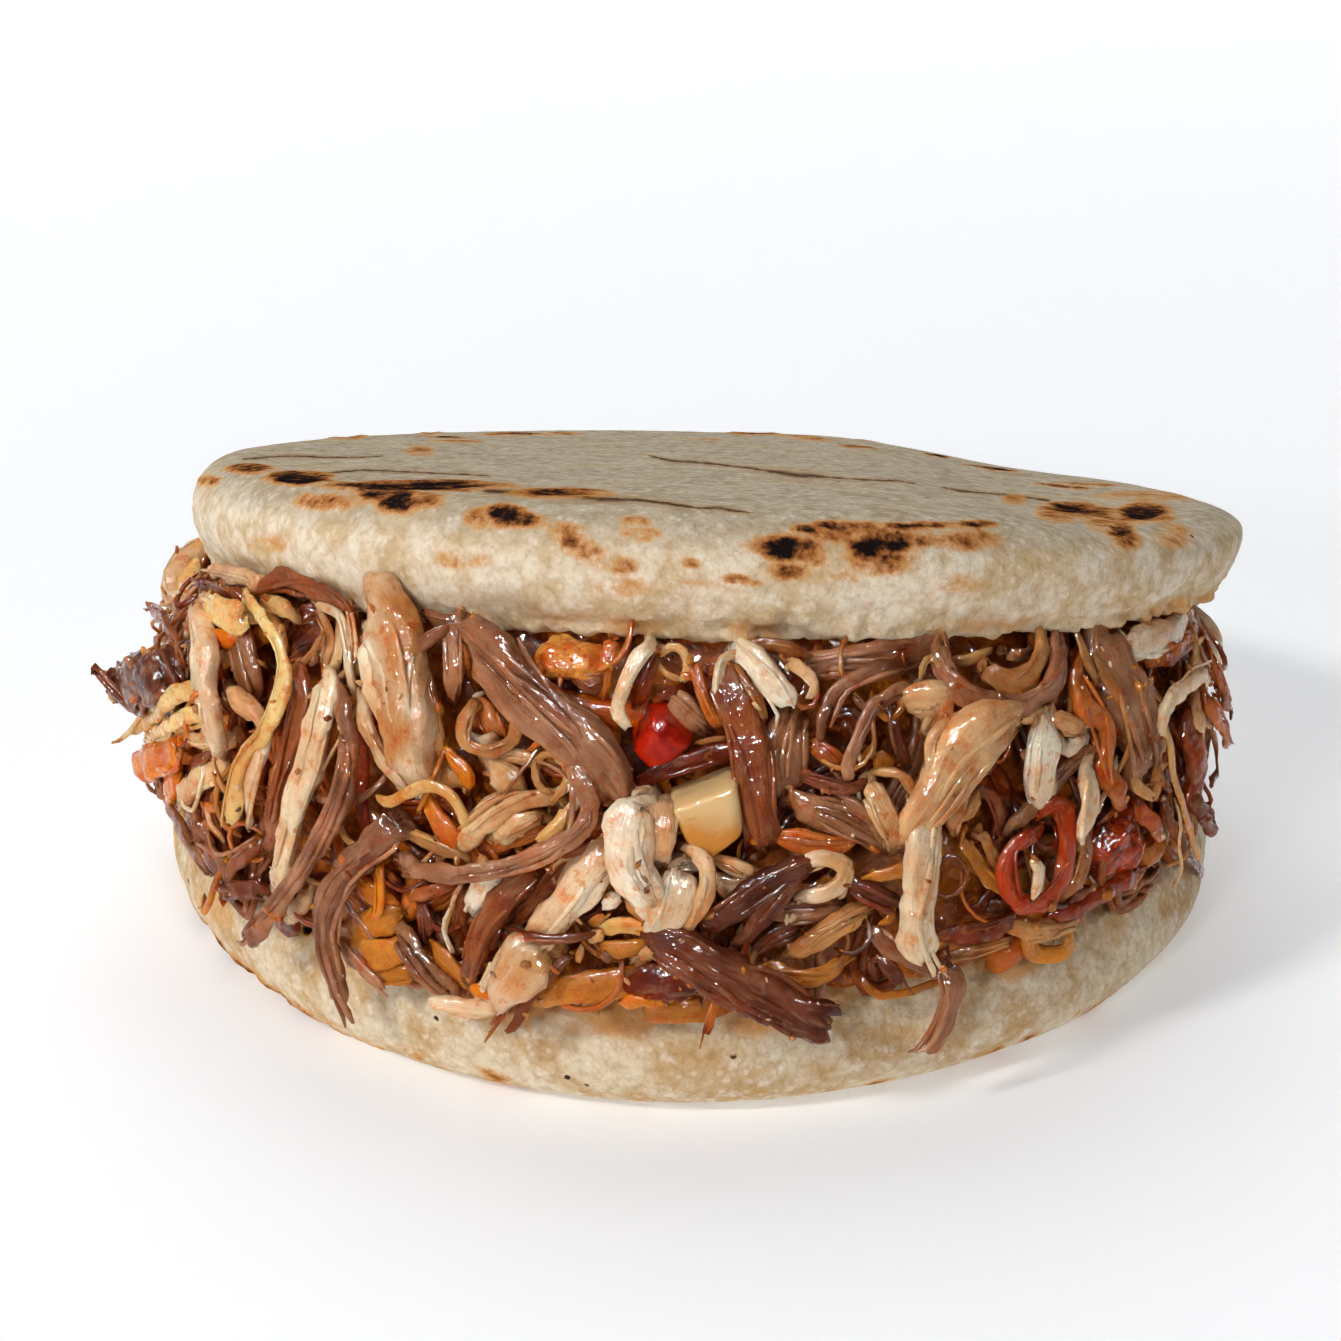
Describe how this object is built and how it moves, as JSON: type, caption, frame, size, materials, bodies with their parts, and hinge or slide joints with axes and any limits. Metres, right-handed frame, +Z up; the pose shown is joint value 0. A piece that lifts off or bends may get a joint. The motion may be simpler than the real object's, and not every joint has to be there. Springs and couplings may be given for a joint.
{
  "type": "filled arepa corn cake",
  "caption": "Round griddled corn cake split in two halves, the upper leaning back over a heaped filling of shredded meats and diced vegetables.",
  "frame": {"origin": "on the flat underside of the lower half, at its centre", "axes": "+Z up, out of the floor it rests on; the open mouth faces -Y, and +X is to the right as seen from the mouth"},
  "size_m": [0.1215, 0.1212, 0.058],
  "materials": {
    "lower_corn_dough": "dry griddled corn dough, matte",
    "upper_corn_dough": "dry griddled corn dough with char marks, matte",
    "shredded_meat": "moist shredded meat in a dark sauce",
    "red_pepper": "moist, glossy red",
    "root_vegetable": "moist, pale golden",
    "sauced_meat": "moist, soaked in orange sauce",
    "roast_tomato": "soft, dark red, glossy"
  },
  "bodies": {
    "root": {"arepa_lower": "lower_corn_dough", "arepa_upper": "upper_corn_dough", "filling": "shredded_meat", "red_pepper": "red_pepper", "root_cube": "root_vegetable", "sauced_chunk": "sauced_meat", "roast_tomato": "roast_tomato"}
  },
  "joints": []
}
